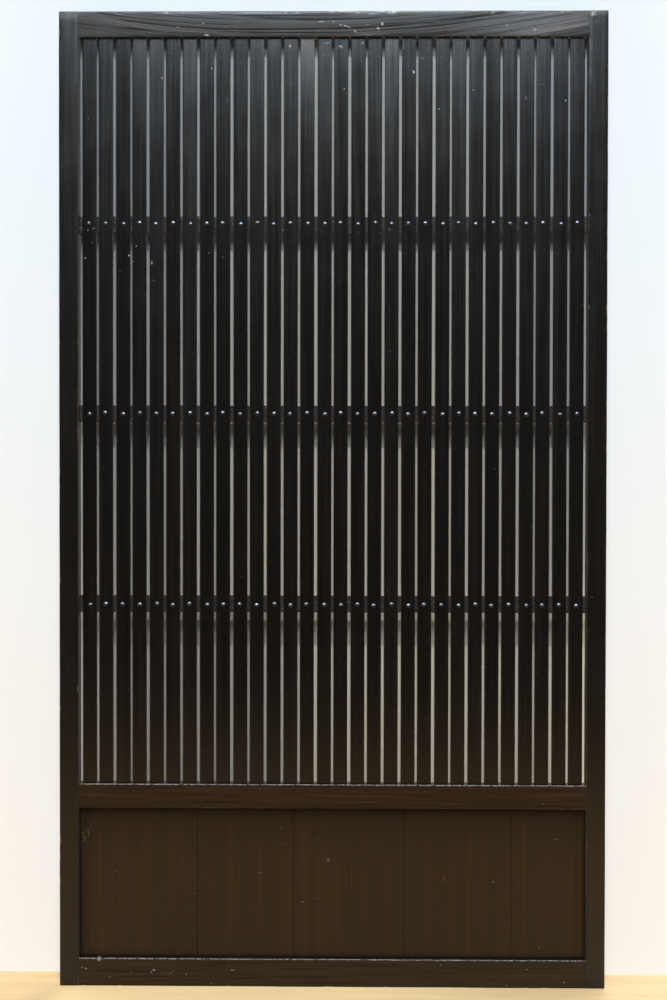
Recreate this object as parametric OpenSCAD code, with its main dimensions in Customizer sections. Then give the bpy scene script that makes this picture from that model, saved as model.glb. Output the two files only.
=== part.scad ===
// Sliding lattice door leaf in dark lacquered wood. A mortised frame holds upright flat slats,
// nailed from the front to three cross bars, above a panel of upright boards.
// Millimetres. The front faces -Y, and the origin is under the middle of the leaf.

/* [Leaf] */
// Width of the leaf
door_w = 988; // [800:1:1300]
// Height of the leaf
door_h = 1762; // [1400:1:2200]
// Thickness of the frame
frame_t = 33; // [28:0.5:50]
// Height of the panel between the bottom rail and the waist rail
panel_h = 273; // [120:1:500]

/* [Frame] */
// Face width of a stile
stile_w = 35; // [28:0.5:70]
// Height of the top rail
top_rail_h = 46; // [36:0.5:90]
// Height of the waist rail under the lattice
waist_rail_h = 44.5; // [36:0.5:90]
// Height of the bottom rail
bottom_rail_h = 51; // [36:0.5:120]
// Bevel along the long edges of the frame
frame_bevel = 1.2; // [0.4:0.1:3]
// Bevel across the outer corners of the leaf
corner_bevel = 2.4; // [0.8:0.1:5]
// Thickness of a rail tenon
tenon_t = 11; // [8:0.5:16]
// Wood left between a tenon and the groove or edge beside it
tenon_wall = 2; // [1:0.5:5]
// Wood left in the stile beyond a blind mortise
mortise_cover = 11; // [6:0.5:18]

/* [Lattice] */
// Face width of a slat
slat_w = 25.5; // [15:0.1:40]
// Thickness of a slat
slat_t = 8; // [5:0.1:12]
// Gap aimed for between neighbouring slats
slat_gap = 4.9; // [4:0.1:20]
// Gap between a stile and the slat beside it
side_gap = 6; // [4:0.1:20]
// Depth of the housings that hold the ends of the slats
slat_housing = 8; // [4:0.5:12]
// Bevel along the long edges of a slat
slat_bevel = 0.8; // [0.3:0.1:2]
// Most that a hand-set slat wanders from even spacing
slat_drift = 0.45; // [0:0.05:0.8]

/* [Cross bars] */
// Height of a cross bar
bar_h = 31; // [20:0.5:60]
// Thickness of a cross bar
bar_t = 12; // [9:0.5:18]
// Distance of the cross bars from the back of the frame
bar_inset = 4; // [1:0.5:8]
// Middle of the lower cross bar above the waist rail
lower_bar_rise = 325.5; // [100:0.5:400]
// Middle of the upper cross bar below the top rail
upper_bar_drop = 335; // [100:1:400]
// Height of the middle cross bar above halfway between the other two
middle_bar_lift = 1.5; // [0:0.5:10]
// Length of a cross bar's end inside the stile
bar_end = 16; // [8:0.5:22]
// Bevel along the long edges of a cross bar
bar_bevel = 0.8; // [0.3:0.1:2]

/* [Nails] */
// Diameter of a nail head
nail_head_d = 9; // [6:0.1:14]
// Height of the dome of a nail head
nail_head_h = 3.2; // [1.5:0.1:4.4]
// Diameter of a nail shank
nail_shank_d = 2.6; // [1.6:0.1:4]
// Length of the point of a nail
nail_point = 4; // [2:0.5:6]
// Wood left in the cross bar behind the point of a nail
nail_cover = 3; // [1.5:0.5:5]
// Height of the outer nail rows beyond the middle of their bars
nail_lift = 0.7; // [0:0.1:5]
// Most that a hand-driven nail wanders from its place
nail_drift = 1.2; // [0:0.1:2]

/* [Panel] */
// Thickness of the panel boards
panel_t = 8; // [6:0.5:12]
// Depth of the groove round the panel
panel_groove = 8; // [4:0.5:10]
// Joint between the second and the third board, left of the middle
panel_joint = 69.5; // [0:0.5:150]
// Face width of the second board
second_board_w = 175; // [100:1:220]
// Face width of the third board
third_board_w = 199; // [100:1:220]
// Face width of the fourth board
fourth_board_w = 196; // [100:1:220]
// Overlap of neighbouring boards behind their joint
board_lap = 8; // [4:0.5:15]
// Bevel on the front edges of a board at its joints
board_bevel = 0.4; // [0.2:0.1:1]

/* [Fits] */
// Clearance on each side of a tenon, slat end or bar end in its housing
joint_fit = 0.15; // [0.05:0.05:0.3]
// Clearance at the end of a blind tenon, bar end or slat top
end_fit = 0.5; // [0.2:0.1:0.9]
// Clearance on each face of the panel in its groove
panel_fit = 0.2; // [0.1:0.05:0.4]
// Gap between neighbouring boards
board_gap = 0.5; // [0.2:0.1:0.9]
// Clearance round a nail shank in its hole
nail_fit = 0.05; // [0.02:0.01:0.15]

/* [Hidden] */
$fn = 48;
// Cutters run this far past the face that they open
overcut = 1;
// Degrees from one slat to the next in the wander of slats and nails
slat_turn = 151;
nail_turn = 97;
row_turn = 71;

frame_wood = [0.15, 0.13, 0.11];
lattice_wood = [0.12, 0.11, 0.10];
panel_wood = [0.20, 0.15, 0.10];
nail_iron = [0.10, 0.10, 0.11];

clear_w = door_w - 2 * stile_w;
front_y = -frame_t / 2;
back_y = frame_t / 2;

panel_z = bottom_rail_h;
waist_z = panel_z + panel_h;
lattice_z = waist_z + waist_rail_h;
top_z = door_h - top_rail_h;

tenon_shoulder = panel_groove + tenon_wall;
mortise_l = stile_w - mortise_cover;
tenon_l = mortise_l - end_fit;

slat_count = round((clear_w - 2 * side_gap + slat_gap) / (slat_w + slat_gap));
slat_pitch = (clear_w - 2 * side_gap - slat_w) / (slat_count - 1);
slat_first_x = -clear_w / 2 + side_gap + slat_w / 2;
bar_front_y = back_y - bar_inset - bar_t;
slat_front_y = bar_front_y - slat_t;

LOWER = 0;
MIDDLE = 1;
UPPER = 2;
BARS = [LOWER, MIDDLE, UPPER];
lower_bar_z = lattice_z + lower_bar_rise;
upper_bar_z = top_z - upper_bar_drop;
middle_bar_z = (lower_bar_z + upper_bar_z) / 2 + middle_bar_lift;
bar_z = [lower_bar_z, middle_bar_z, upper_bar_z];

nail_dome_r = (nail_head_d * nail_head_d / 4 + nail_head_h * nail_head_h) / (2 * nail_head_h);
nail_shank_l = slat_t + bar_t - nail_cover;

panel_edge = clear_w / 2 + panel_groove - end_fit;
third_board_x = -panel_joint;
fourth_board_x = third_board_x + third_board_w;
fifth_board_x = fourth_board_x + fourth_board_w;
second_board_x = third_board_x - second_board_w;
board_edges = [
    -panel_edge, second_board_x, third_board_x, fourth_board_x, fifth_board_x, panel_edge
];
board_count = len(board_edges) - 1;
panel_front_y = -panel_t / 2;
panel_back_y = panel_t / 2;

function slat_name(i) = str("slat_", i < 10 ? "0" : "", i);
function slat_x(i) = slat_first_x + (i - 1) * slat_pitch + slat_drift * sin(i * slat_turn);
function nail_x(i, row) = slat_x(i) + nail_drift * sin(i * nail_turn + row * row_turn);
function nail_z(i, row) = bar_z[row] + nail_lift * (row - MIDDLE)
    + nail_drift * cos(i * slat_turn + row * row_turn);

// Upright bar with its four long edges bevelled, from a corner at the origin
module upright_bar(w, t, l, bevel) {
    linear_extrude(l)
        polygon([
            [bevel, 0], [w - bevel, 0], [w, bevel], [w, t - bevel],
            [w - bevel, t], [bevel, t], [0, t - bevel], [0, bevel]
        ]);
}

// The same bar lying along X, with t along Y and h along Z
module level_bar(l, t, h, bevel) {
    rotate([90, 0, 90]) upright_bar(t, h, l, bevel);
}

// Outline of the whole leaf seen from the front, with its corners bevelled
module leaf_outline() {
    half_w = door_w / 2;
    translate([0, frame_t, 0])
        rotate([90, 0, 0])
            linear_extrude(2 * frame_t)
                polygon([
                    [corner_bevel - half_w, 0], [half_w - corner_bevel, 0],
                    [half_w, corner_bevel], [half_w, door_h - corner_bevel],
                    [half_w - corner_bevel, door_h], [corner_bevel - half_w, door_h],
                    [-half_w, door_h - corner_bevel], [-half_w, corner_bevel]
                ]);
}

// Blind mortise in the inner face of the right stile for the tenon of a rail
module tenon_mortise(z, h) {
    mortise_t = tenon_t + 2 * joint_fit;
    translate([clear_w / 2 - overcut, -mortise_t / 2, z + tenon_shoulder - joint_fit])
        cube([mortise_l + overcut, mortise_t, h - 2 * tenon_shoulder + 2 * joint_fit]);
}

// Housing in the inner face of the right stile for the end of a cross bar
module bar_housing(z) {
    translate([clear_w / 2 - overcut, bar_front_y - joint_fit, z - bar_h / 2 - joint_fit])
        cube([bar_end + end_fit + overcut, bar_t + 2 * joint_fit, bar_h + 2 * joint_fit]);
}

// Groove in the inner face of the right stile for the edge of the panel
module stile_groove() {
    translate([clear_w / 2 - overcut, panel_front_y - panel_fit, panel_z - panel_groove])
        cube([panel_groove + overcut, panel_t + 2 * panel_fit, panel_h + 2 * panel_groove]);
}

module right_stile() {
    color(frame_wood)
        difference() {
            intersection() {
                translate([clear_w / 2, front_y, 0])
                    upright_bar(stile_w, frame_t, door_h, frame_bevel);
                leaf_outline();
            }
            tenon_mortise(0, bottom_rail_h);
            tenon_mortise(waist_z, waist_rail_h);
            tenon_mortise(top_z, top_rail_h);
            for (row = BARS) bar_housing(bar_z[row]);
            stile_groove();
        }
}

module left_stile() {
    mirror([1, 0, 0]) right_stile();
}

// Rail between the stiles with a tenon at each end
module tenoned_rail(z, h) {
    translate([-clear_w / 2, front_y, z]) level_bar(clear_w, frame_t, h, frame_bevel);
    translate([-clear_w / 2 - tenon_l, -tenon_t / 2, z + tenon_shoulder])
        cube([clear_w + 2 * tenon_l, tenon_t, h - 2 * tenon_shoulder]);
}

// Housings for the slat ends, cut from height z by the given depth
module slat_housings(z, depth) {
    for (i = [1 : slat_count])
        translate([slat_x(i) - slat_w / 2 - joint_fit, slat_front_y - joint_fit, z])
            cube([slat_w + 2 * joint_fit, slat_t + 2 * joint_fit, depth]);
}

// Groove along a rail for the ends of the panel boards
module rail_groove(z, depth) {
    translate([-clear_w / 2 - overcut, panel_front_y - panel_fit, z])
        cube([clear_w + 2 * overcut, panel_t + 2 * panel_fit, depth]);
}

module top_rail() {
    color(frame_wood)
        difference() {
            tenoned_rail(top_z, top_rail_h);
            slat_housings(top_z - overcut, slat_housing + overcut);
        }
}

module waist_rail() {
    color(frame_wood)
        difference() {
            tenoned_rail(waist_z, waist_rail_h);
            slat_housings(lattice_z - slat_housing, slat_housing + overcut);
            rail_groove(waist_z - overcut, panel_groove + overcut);
        }
}

module bottom_rail() {
    color(frame_wood)
        difference() {
            tenoned_rail(0, bottom_rail_h);
            rail_groove(panel_z - panel_groove, panel_groove + overcut);
        }
}

// Cross bar behind the slats, with a blind hole for each nail
module cross_bar(row) {
    hole_l = bar_t - nail_cover + end_fit;
    color(lattice_wood)
        difference() {
            translate([-clear_w / 2 - bar_end, bar_front_y, bar_z[row] - bar_h / 2])
                level_bar(clear_w + 2 * bar_end, bar_t, bar_h, bar_bevel);
            for (i = [1 : slat_count])
                translate([nail_x(i, row), bar_front_y - overcut, nail_z(i, row)])
                    rotate([-90, 0, 0])
                        cylinder(d = nail_shank_d + 2 * nail_fit, h = hole_l + overcut);
        }
}

// Upright slat, standing in the waist rail and reaching into the top rail
module slat(i) {
    slat_l = top_z - lattice_z + 2 * slat_housing - end_fit;
    color(lattice_wood)
        difference() {
            translate([slat_x(i) - slat_w / 2, slat_front_y, lattice_z - slat_housing])
                upright_bar(slat_w, slat_t, slat_l, slat_bevel);
            for (row = BARS)
                translate([nail_x(i, row), slat_front_y - overcut, nail_z(i, row)])
                    rotate([-90, 0, 0])
                        cylinder(d = nail_shank_d + 2 * nail_fit, h = slat_t + 2 * overcut);
        }
}

// Nail pointing down from a domed head whose flat underside is at the origin
module nail() {
    translate([0, 0, nail_point - nail_shank_l])
        cylinder(d = nail_shank_d, h = nail_shank_l - nail_point);
    translate([0, 0, -nail_shank_l])
        cylinder(d1 = 0, d2 = nail_shank_d, h = nail_point);
    intersection() {
        translate([0, 0, nail_head_h - nail_dome_r]) sphere(nail_dome_r);
        translate([-nail_head_d, -nail_head_d, 0])
            cube([2 * nail_head_d, 2 * nail_head_d, nail_head_d]);
    }
}

// One nail through each slat into a cross bar
module nail_row(row) {
    color(nail_iron)
        for (i = [1 : slat_count])
            translate([nail_x(i, row), slat_front_y, nail_z(i, row)])
                rotate([90, 0, 0]) nail();
}

// Edges of a panel board in plan: the left one laps in front of its neighbour, the right one behind
function board_left_edge(k) =
    let (x = board_edges[k - 1] + board_gap / 2, step_y = -panel_fit / 2)
    k == 1
        ? [[-panel_edge, panel_back_y], [-panel_edge, panel_front_y]]
        : [[x + board_lap, panel_back_y], [x + board_lap, step_y], [x, step_y],
           [x, panel_front_y + board_bevel], [x + board_bevel, panel_front_y]];
function board_right_edge(k) =
    let (x = board_edges[k] - board_gap / 2, step_y = panel_fit / 2)
    k == board_count
        ? [[panel_edge, panel_front_y], [panel_edge, panel_back_y]]
        : [[x - board_bevel, panel_front_y], [x, panel_front_y + board_bevel],
           [x, step_y], [x + board_lap, step_y], [x + board_lap, panel_back_y]];

// Upright board of the panel, standing in the groove of the bottom rail
module panel_board(k) {
    color(panel_wood)
        translate([0, 0, panel_z - panel_groove])
            linear_extrude(panel_h + 2 * panel_groove - end_fit)
                polygon(concat(board_left_edge(k), board_right_edge(k)));
}

left_stile();
right_stile();
top_rail();
waist_rail();
bottom_rail();
cross_bar(LOWER);  // lower_cross_bar
cross_bar(MIDDLE);  // middle_cross_bar
cross_bar(UPPER);  // upper_cross_bar
for (i = [1 : slat_count])
    slat(i);
nail_row(LOWER);  // lower_nail_row
nail_row(MIDDLE);  // middle_nail_row
nail_row(UPPER);  // upper_nail_row
for (k = [1 : board_count])
    panel_board(k);
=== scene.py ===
import math

import bpy
import numpy as np
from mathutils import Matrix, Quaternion, Vector


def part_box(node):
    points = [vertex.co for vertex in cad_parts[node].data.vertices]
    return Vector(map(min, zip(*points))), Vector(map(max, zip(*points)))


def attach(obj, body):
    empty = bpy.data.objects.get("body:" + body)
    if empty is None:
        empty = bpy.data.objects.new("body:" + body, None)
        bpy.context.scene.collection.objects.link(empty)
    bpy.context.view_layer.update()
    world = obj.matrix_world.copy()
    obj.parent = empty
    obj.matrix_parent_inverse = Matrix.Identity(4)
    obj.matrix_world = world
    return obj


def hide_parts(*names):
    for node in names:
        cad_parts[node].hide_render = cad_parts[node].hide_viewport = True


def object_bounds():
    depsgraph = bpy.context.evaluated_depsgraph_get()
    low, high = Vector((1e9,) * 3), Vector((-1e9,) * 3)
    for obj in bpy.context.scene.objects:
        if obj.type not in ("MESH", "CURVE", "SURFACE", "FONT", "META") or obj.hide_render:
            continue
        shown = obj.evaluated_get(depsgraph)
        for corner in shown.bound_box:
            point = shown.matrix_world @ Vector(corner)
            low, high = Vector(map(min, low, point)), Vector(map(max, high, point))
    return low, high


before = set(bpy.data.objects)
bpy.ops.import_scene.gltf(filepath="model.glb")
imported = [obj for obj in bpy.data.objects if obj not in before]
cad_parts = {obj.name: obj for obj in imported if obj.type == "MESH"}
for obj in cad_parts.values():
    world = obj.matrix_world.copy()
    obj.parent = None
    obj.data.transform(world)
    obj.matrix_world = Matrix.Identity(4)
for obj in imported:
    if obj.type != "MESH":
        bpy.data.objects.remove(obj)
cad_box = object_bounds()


# Stiles
# The two uprights of the frame, each planed from one length of softwood, stained black-brown and lacquered.
# Their inner faces are mortised for the rails, housed for the cross bars and grooved for the panel.

def smooth_noise(points, cell, seed):
    """Noise from -1 to 1. Every corner of a lattice of cells has a number mixed from its place and the seed.
    A point takes the eight numbers round it, weighted by 3t^2 - 2t^3 along each axis of its cell."""
    spot = points / np.asarray(cell, float)
    corner = np.floor(spot).astype(np.int64)
    part = spot - corner
    part = part * part * (3 - 2 * part)
    total = np.zeros(points.shape[:-1])
    for step in np.ndindex(2, 2, 2):
        mixed = (corner + step) @ np.array((73856093, 19349663, 83492791)) + 982451653 * seed
        mixed = (mixed ^ (mixed >> 15)) & 0x7FFFFFFF
        mixed = mixed * 48271 % 0x7FFFFFFF
        mixed = (mixed ^ (mixed >> 13)) * 69621 % 0x7FFFFFFF
        weight = np.prod(np.where(step, part, 1 - part), axis=-1)
        total += weight * (mixed / 0x3FFFFFFF - 1)
    return total


cut_half = 0.00001


def section_outline(corners, radius, spacing, cuts):
    """Outline of a section, anticlockwise: points, outward directions, side numbers and nearness to an arris.

    An outer corner becomes a quarter circle of the radius, numbered -1, and an inner corner stays sharp.
    A side is divided evenly near the spacing, once more beside its arrises, and by a pair of lines at each
    cut, where the edge of a mortise, housing or groove falls. Nearness is 1 on an arris and fades as
    exp(-distance / fade).
    """
    corners = np.asarray(corners, float)
    onward = np.roll(corners, -1, axis=0) - corners
    length = np.abs(onward).sum(axis=1)
    onward = onward / length[:, None]
    before = np.roll(onward, 1, axis=0)
    outward = np.stack((onward[:, 1], -onward[:, 0]), axis=1)
    bend = before[:, 0] * onward[:, 1] - before[:, 1] * onward[:, 0]
    rounding = np.where(bend > 0, radius, 0.0)
    quarter = np.linspace(0, math.pi / 2, 5)[:, None]
    beside_arris = 0.0013
    fade = 0.0022
    cut_clear = 0.0003
    points, directions, sides, nearness = [], [], [], []
    for side, corner in enumerate(corners):
        arc = quarter if rounding[side] > 0 else quarter[2:3]
        lean = outward[side - 1] * np.cos(arc) + outward[side] * np.sin(arc)
        centre = corner + rounding[side] * (onward[side] - before[side])
        start = rounding[side]
        stop = length[side] - rounding[(side + 1) % len(corners)]
        steps = max(2, round((stop - start) / spacing))
        along = np.linspace(start, stop, steps + 1)[1:-1]
        along = np.append(along, (start + beside_arris, stop - beside_arris))
        axis = int(np.argmax(np.abs(onward[side])))
        for cut in cuts.get(side, ()):
            at = (cut - corner[axis]) * onward[side][axis]
            along = along[np.abs(along - at) > cut_clear]
            along = np.append(along, (at - cut_half, at + cut_half))
        along = np.sort(along)
        start_gap = along - start if rounding[side] > 0 else 1 + 0 * along
        stop_gap = stop - along if stop < length[side] else 1 + 0 * along
        points += [centre + rounding[side] * lean, corner + along[:, None] * onward[side]]
        directions += [lean, np.tile(outward[side], (len(along), 1))]
        sides += [np.full(len(arc), -1), np.full(len(along), side)]
        nearness += [np.full(len(arc), float(rounding[side] > 0))]
        nearness += [np.exp(-np.minimum(start_gap, stop_gap) / fade)]
    return tuple(np.concatenate(group) for group in (points, directions, sides, nearness))


def shaped_bar(corners, radius, spacing, stretch, step, upright, seed, hollow, rub,
               end_round=0.0, pockets=(), tenon=None, finer=()):
    """A section carried along a straight stretch, as a grid of stations by outline points, and its traits:
    how worn it is, how near an arris, and its flank, which is 1 facing right, -1 facing left and 0 elsewhere.

    Upright bars run along Z with their section in X and Y, level ones along X with it in Y and Z. Rounded
    ends shrink the section by e(1 - sin a) at e(1 - cos a) from the end. Every point is then moved in: by the
    hollow of hand planing, by rubbed and chipped arrises, and by the whole depth of a pocket, which is given
    as its side, its two edges on the section, its two ends on the stretch and its depth. A tenon, given as
    its length and the shares of the section that it keeps, adds a smaller section beyond each end. Extra
    stations may be given where a mark needs finer steps.
    """
    end_clear = 0.0004
    cuts = {}
    for side, low, high, first, last, depth in pockets:
        cuts.setdefault(side, set()).update((low, high))
    outline, outward, side_of, arris = section_outline(corners, radius, spacing, cuts)
    start, stop = stretch
    place = np.linspace(start + end_round, stop - end_round, round((stop - start) / step) + 1)
    place = np.append(place, finer)
    for end in sorted({end for pocket in pockets for end in pocket[3:5] if start < end < stop}):
        place = place[np.abs(place - end) > end_clear]
        place = np.append(place, (end - cut_half, end + cut_half))
    inset = np.zeros(len(place))
    tenoned = np.zeros(len(place), bool)
    if end_round:
        turn = np.linspace(0, math.pi / 2, 4)[:-1]
        rise = end_round * (1 - np.cos(turn))
        place = np.concatenate((place, start + rise, stop - rise))
        inset = np.concatenate((inset, np.tile(end_round * (1 - np.sin(turn)), 2)))
        tenoned = np.zeros(len(place), bool)
    if tenon:
        reach = np.array((cut_half, 0.3 * tenon[0], 0.7 * tenon[0], tenon[0]))
        place = np.concatenate((place, start - reach, stop + reach))
        inset = np.append(inset, np.zeros(2 * len(reach)))
        tenoned = np.append(tenoned, np.ones(2 * len(reach), bool))
    order = np.argsort(place)
    place, inset, tenoned = place[order], inset[order], tenoned[order]
    middle = (outline.min(0) + outline.max(0)) / 2
    kept = np.where(tenoned[:, None], tenon[1:] if tenon else (1, 1), (1, 1))
    section = outline[None] - inset[:, None, None] * outward[None]
    section = middle + (section - middle) * kept[:, None, :]
    along = np.broadcast_to(place[:, None, None], section.shape[:2] + (1,))
    facing = np.broadcast_to(outward[None], section.shape)
    still = np.zeros_like(along)
    points = np.concatenate((section, along) if upright else (along, section), axis=2)
    facing = np.concatenate((facing, still) if upright else (still, facing), axis=2)

    def grain_cell(across, length):
        return (across, across, length) if upright else (length, across, across)

    rubbed = arris * np.clip(0.4 + 0.6 * smooth_noise(points, grain_cell(0.02, 0.07), seed + 1), 0, 1)
    chipped = arris * np.clip(2.4 * smooth_noise(points, grain_cell(0.006, 0.011), seed + 2) - 1.05, 0, 1)
    depth = hollow / 2 * (1 + smooth_noise(points, grain_cell(0.03, 0.2), seed))
    depth = np.where(tenoned[:, None], 0, depth + rub * (rubbed + 1.5 * chipped))
    worn = np.where(tenoned[:, None], 0, np.clip(0.75 * rubbed + chipped, 0, 1))
    for side, low, high, first, last, deep in pockets:
        across = (outline[:, side % 2] > low) & (outline[:, side % 2] < high) & (side_of == side)
        within = (place > first) & (place < last) & ~tenoned
        cut = within[:, None] & across[None]
        depth = np.where(cut, deep, depth)
        worn = np.where(cut, 0, worn)
    traits = {"wear": worn, "arris": np.broadcast_to(arris, worn.shape), "flank": facing[..., 0]}
    return points - depth[..., None] * facing, traits


def ring_faces(points):
    """Faces of a grid whose outline closes on itself: four corners between neighbouring stations and columns,
    and one face with all of a station's corners over each end."""
    index = np.arange(points.shape[0] * points.shape[1]).reshape(points.shape[:2])
    beside = np.roll(index, -1, axis=1)
    sides = np.stack((index[:-1], beside[:-1], beside[1:], index[1:]), axis=-1).reshape(-1, 4)
    return sides.tolist() + [index[0, ::-1].tolist(), index[-1].tolist()]


def made_piece(name, points, faces, finish, traits):
    """An object at the origin from points and faces, smooth but for its sharp edges, with a number of each
    trait kept at every point for its finish to read."""
    sharp_angle = math.radians(38)
    mesh = bpy.data.meshes.new(name)
    mesh.from_pydata(points.reshape(-1, 3).tolist(), [], faces)
    mesh.shade_smooth()
    mesh.set_sharp_from_angle(angle=sharp_angle)
    for trait, values in traits.items():
        layer = mesh.attributes.new(trait, "FLOAT", "POINT")
        layer.data.foreach_set("value", np.broadcast_to(values, points.shape[:-1]).astype(np.float32).ravel())
    mesh.materials.append(finish)
    piece = bpy.data.objects.new(name, mesh)
    bpy.context.scene.collection.objects.link(piece)
    return piece


def marks_on_front(points, marks):
    """How much a list of marks shows at each point: the greatest of strength times exp(-(distance / size)^2),
    where a mark is its X, its Z, its half width, its half height and its strength. The back half has none."""
    shown = np.zeros(points.shape[:-1])
    for x, z, half_width, half_height, strength in marks:
        away = ((points[..., 0] - x) / half_width) ** 2 + ((points[..., 2] - z) / half_height) ** 2
        shown = np.maximum(shown, strength * np.exp(-away))
    depth = points[..., 1]
    return np.where(2 * depth < depth.min() + depth.max(), shown, 0)


class Term:
    """One output of a material's nodes. Sums, differences and products of terms add Math nodes."""

    def __init__(self, tree, socket=None):
        self.tree = tree
        self.socket = socket

    def node(self, kind, settings, sockets, output=0):
        """Add a node of a kind: its settings first, then the value or link of each of its sockets."""
        added = self.tree.nodes.new(kind)
        for setting, value in settings.items():
            setattr(added, setting, value)
        for socket, value in sockets.items():
            if isinstance(value, Term):
                self.tree.links.new(value.socket, added.inputs[socket])
            else:
                added.inputs[socket].default_value = value
        return Term(self.tree, added.outputs[output])

    def maths(self, operation, first, second=0.0):
        return self.node("ShaderNodeMath", {"operation": operation}, {0: first, 1: second})

    def __add__(self, other):
        return self.maths("ADD", self, other)

    def __sub__(self, other):
        return self.maths("SUBTRACT", self, other)

    def __mul__(self, other):
        return self.maths("MULTIPLY", self, other)

    def __rsub__(self, other):
        return self.maths("SUBTRACT", other, self)

    __radd__ = __add__
    __rmul__ = __mul__

    def unsigned(self):
        """This number without its sign."""
        return self.maths("ABSOLUTE", self)

    def most(self, other):
        """The greater of this and another."""
        return self.maths("MAXIMUM", self, other)

    def between(self, low, high):
        """0 below low, 1 above high and a smooth step from one to the other."""
        settings = {"interpolation_type": "SMOOTHSTEP"}
        return self.node("ShaderNodeMapRange", settings, {"Value": self, "From Min": low, "From Max": high})

    def blend(self, first, second):
        """A colour that goes from the first to the second as this term goes from 0 to 1."""
        settings = {"data_type": "RGBA", "clamp_factor": True}
        return self.node("ShaderNodeMix", settings, {0: self, 6: first, 7: second}, 2)

    def noise(self, stretch, detail, turn=(0, 0, 0)):
        """Cloud of numbers round 0.5 at this place, with so many lumps to a metre along each axis."""
        spot = self.node("ShaderNodeMapping", {}, {"Vector": self, "Rotation": turn, "Scale": stretch})
        sockets = {"Vector": spot, "Scale": 1.0, "Detail": detail, "Roughness": 0.55}
        return self.node("ShaderNodeTexNoise", {}, sockets, "Fac")


def linear(red, green, blue):
    """A colour for a socket from the three numbers of a picture, 0 to 255."""
    shares = np.array((red, green, blue)) / 255
    shares = np.where(shares <= 0.04045, shares / 12.92, ((shares + 0.055) / 1.055) ** 2.4)
    return (*shares.tolist(), 1.0)


def lacquered_wood(name, upright, stain, figure, gloss, shine=0.5, pores=0.55, breadth=0.3, open_grain=0.0,
                   slope=0.0, sweep=0.0, rubbed=linear(92, 76, 60)):
    """Stained wood under lacquer that has lost its gloss in places.

    The grain is noise drawn out along the length, on a coordinate across it that leans by the slope and
    curves by the sweep. It mixes broad and fine streaks by the breadth, and shifts with the piece's tone.
    Open grain adds dark furrows of the same at a finer size. Wear at the arrises shows rubbed wood. Dust, and
    a painted sheen near the tops of uprights, lie grey, painted shade lies dark, and nicks, scratches and a
    painted highlight along the upper arrises of two rails show pale. Flanks are matte from the saw. Most of
    it changes the roughness as well. Only the piece's own place and the numbers kept at its points are read.
    """
    pore_dark, painted_shade_dark = linear(10, 9, 8), linear(14, 13, 12)
    dust_and_sheen_grey, scratch_and_highlight_pale = linear(108, 110, 114), linear(172, 176, 184)
    material = bpy.data.materials.new(name)
    material.use_nodes = True
    tree = material.node_tree
    shader = tree.nodes["Principled BSDF"]
    shader.inputs["Specular IOR Level"].default_value = shine
    base = Term(tree)
    place = base.node("ShaderNodeTexCoord", {}, {}, "Object")
    tone, wear, scuff_and_highlight, dust_and_sheen, painted_shade, flank = (
        base.node("ShaderNodeAttribute", {"attribute_name": trait}, {}, "Fac")
        for trait in ("tone", "wear", "scuff_and_highlight", "dust_and_sheen", "painted_shade", "flank")
    )
    x, y, z = (base.node("ShaderNodeSeparateXYZ", {}, {0: place}, axis) for axis in "XYZ")
    waver = 0.016 * place.noise((3, 3, 1.3) if upright else (1.3, 3, 3), 2) - 0.008
    if upright:
        x = x - z * (slope + sweep * z) + waver + 3.1 * tone
        z = z + 5.7 * tone
    else:
        z = z - x * (slope + sweep * x) + waver + 3.1 * tone
        x = x + 5.7 * tone
    grown = base.node("ShaderNodeCombineXYZ", {}, {0: x, 1: y, 2: z})

    def drawn_out(from_place, across, along, detail):
        return from_place.noise((across, across, along) if upright else (along, across, across), detail)

    broad = drawn_out(grown, 38, 0.9, 2)
    fine = drawn_out(grown, 190, 3.2, 4)
    hairs = drawn_out(grown, 560, 7, 2)
    cloud = place.noise((14, 14, 14), 4)
    grit = drawn_out(place, 700, 330, 2)
    streak = (breadth * broad + (1 - breadth) * fine).between(0.46, 0.64)
    colour = streak.blend(stain, figure)
    colour = (pores * hairs.between(0.5, 0.68)).blend(colour, pore_dark)
    bare = (wear * (0.35 + 1.3 * cloud)).between(0.42, 0.95)
    colour = (0.7 * bare).blend(colour, rubbed)
    dust_and_sheen_amount = dust_and_sheen * (0.5 + fine)
    # Dust, and a painted sheen near the tops of uprights, grey the colour, with specks.
    colour = (0.4 * dust_and_sheen_amount + 0.2 * dust_and_sheen_amount * grit.between(0.5, 0.66)).blend(colour, dust_and_sheen_grey)
    groove = open_grain * drawn_out(grown, 400, 4.5, 2).between(0.47, 0.60)
    # Painted shade, and the furrows of open grain, darken the colour.
    colour = (0.75 * groove).most(painted_shade).blend(colour, painted_shade_dark)
    # Nicks, scratches and a painted highlight along some upper arrises show pale.
    nicks_and_highlight = (grit + 0.30 * scuff_and_highlight).between(0.79, 0.83)
    scratch = place.noise((60, 900, 900), 1, (0, 0.9, 0)).between(0.80, 0.83) * cloud.between(0.52, 0.6)
    marks_and_highlight = nicks_and_highlight.most(scratch)
    colour = (0.8 * marks_and_highlight).blend(colour, scratch_and_highlight_pale)
    rough = gloss + 0.10 * (cloud - 0.5) + 0.12 * (fine - 0.5) + 0.14 * (hairs - 0.5) + 0.05 * (tone - 0.5)
    rough = rough + 0.10 * (grit - 0.5) + 0.10 * bare + 0.10 * dust_and_sheen_amount
    rough = rough + 0.25 * marks_and_highlight + 0.75 * flank - 0.06 * groove
    tree.links.new(colour.socket, shader.inputs["Base Color"])
    tree.links.new(rough.socket, shader.inputs["Roughness"])
    height = 0.5 * fine + 0.3 * hairs + 0.08 * grit - 0.5 * marks_and_highlight - 0.5 * groove
    relief = base.node("ShaderNodeBump", {}, {"Strength": 0.1, "Distance": 0.0004, "Height": height})
    tree.links.new(relief.socket, shader.inputs["Normal"])
    return material


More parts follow.
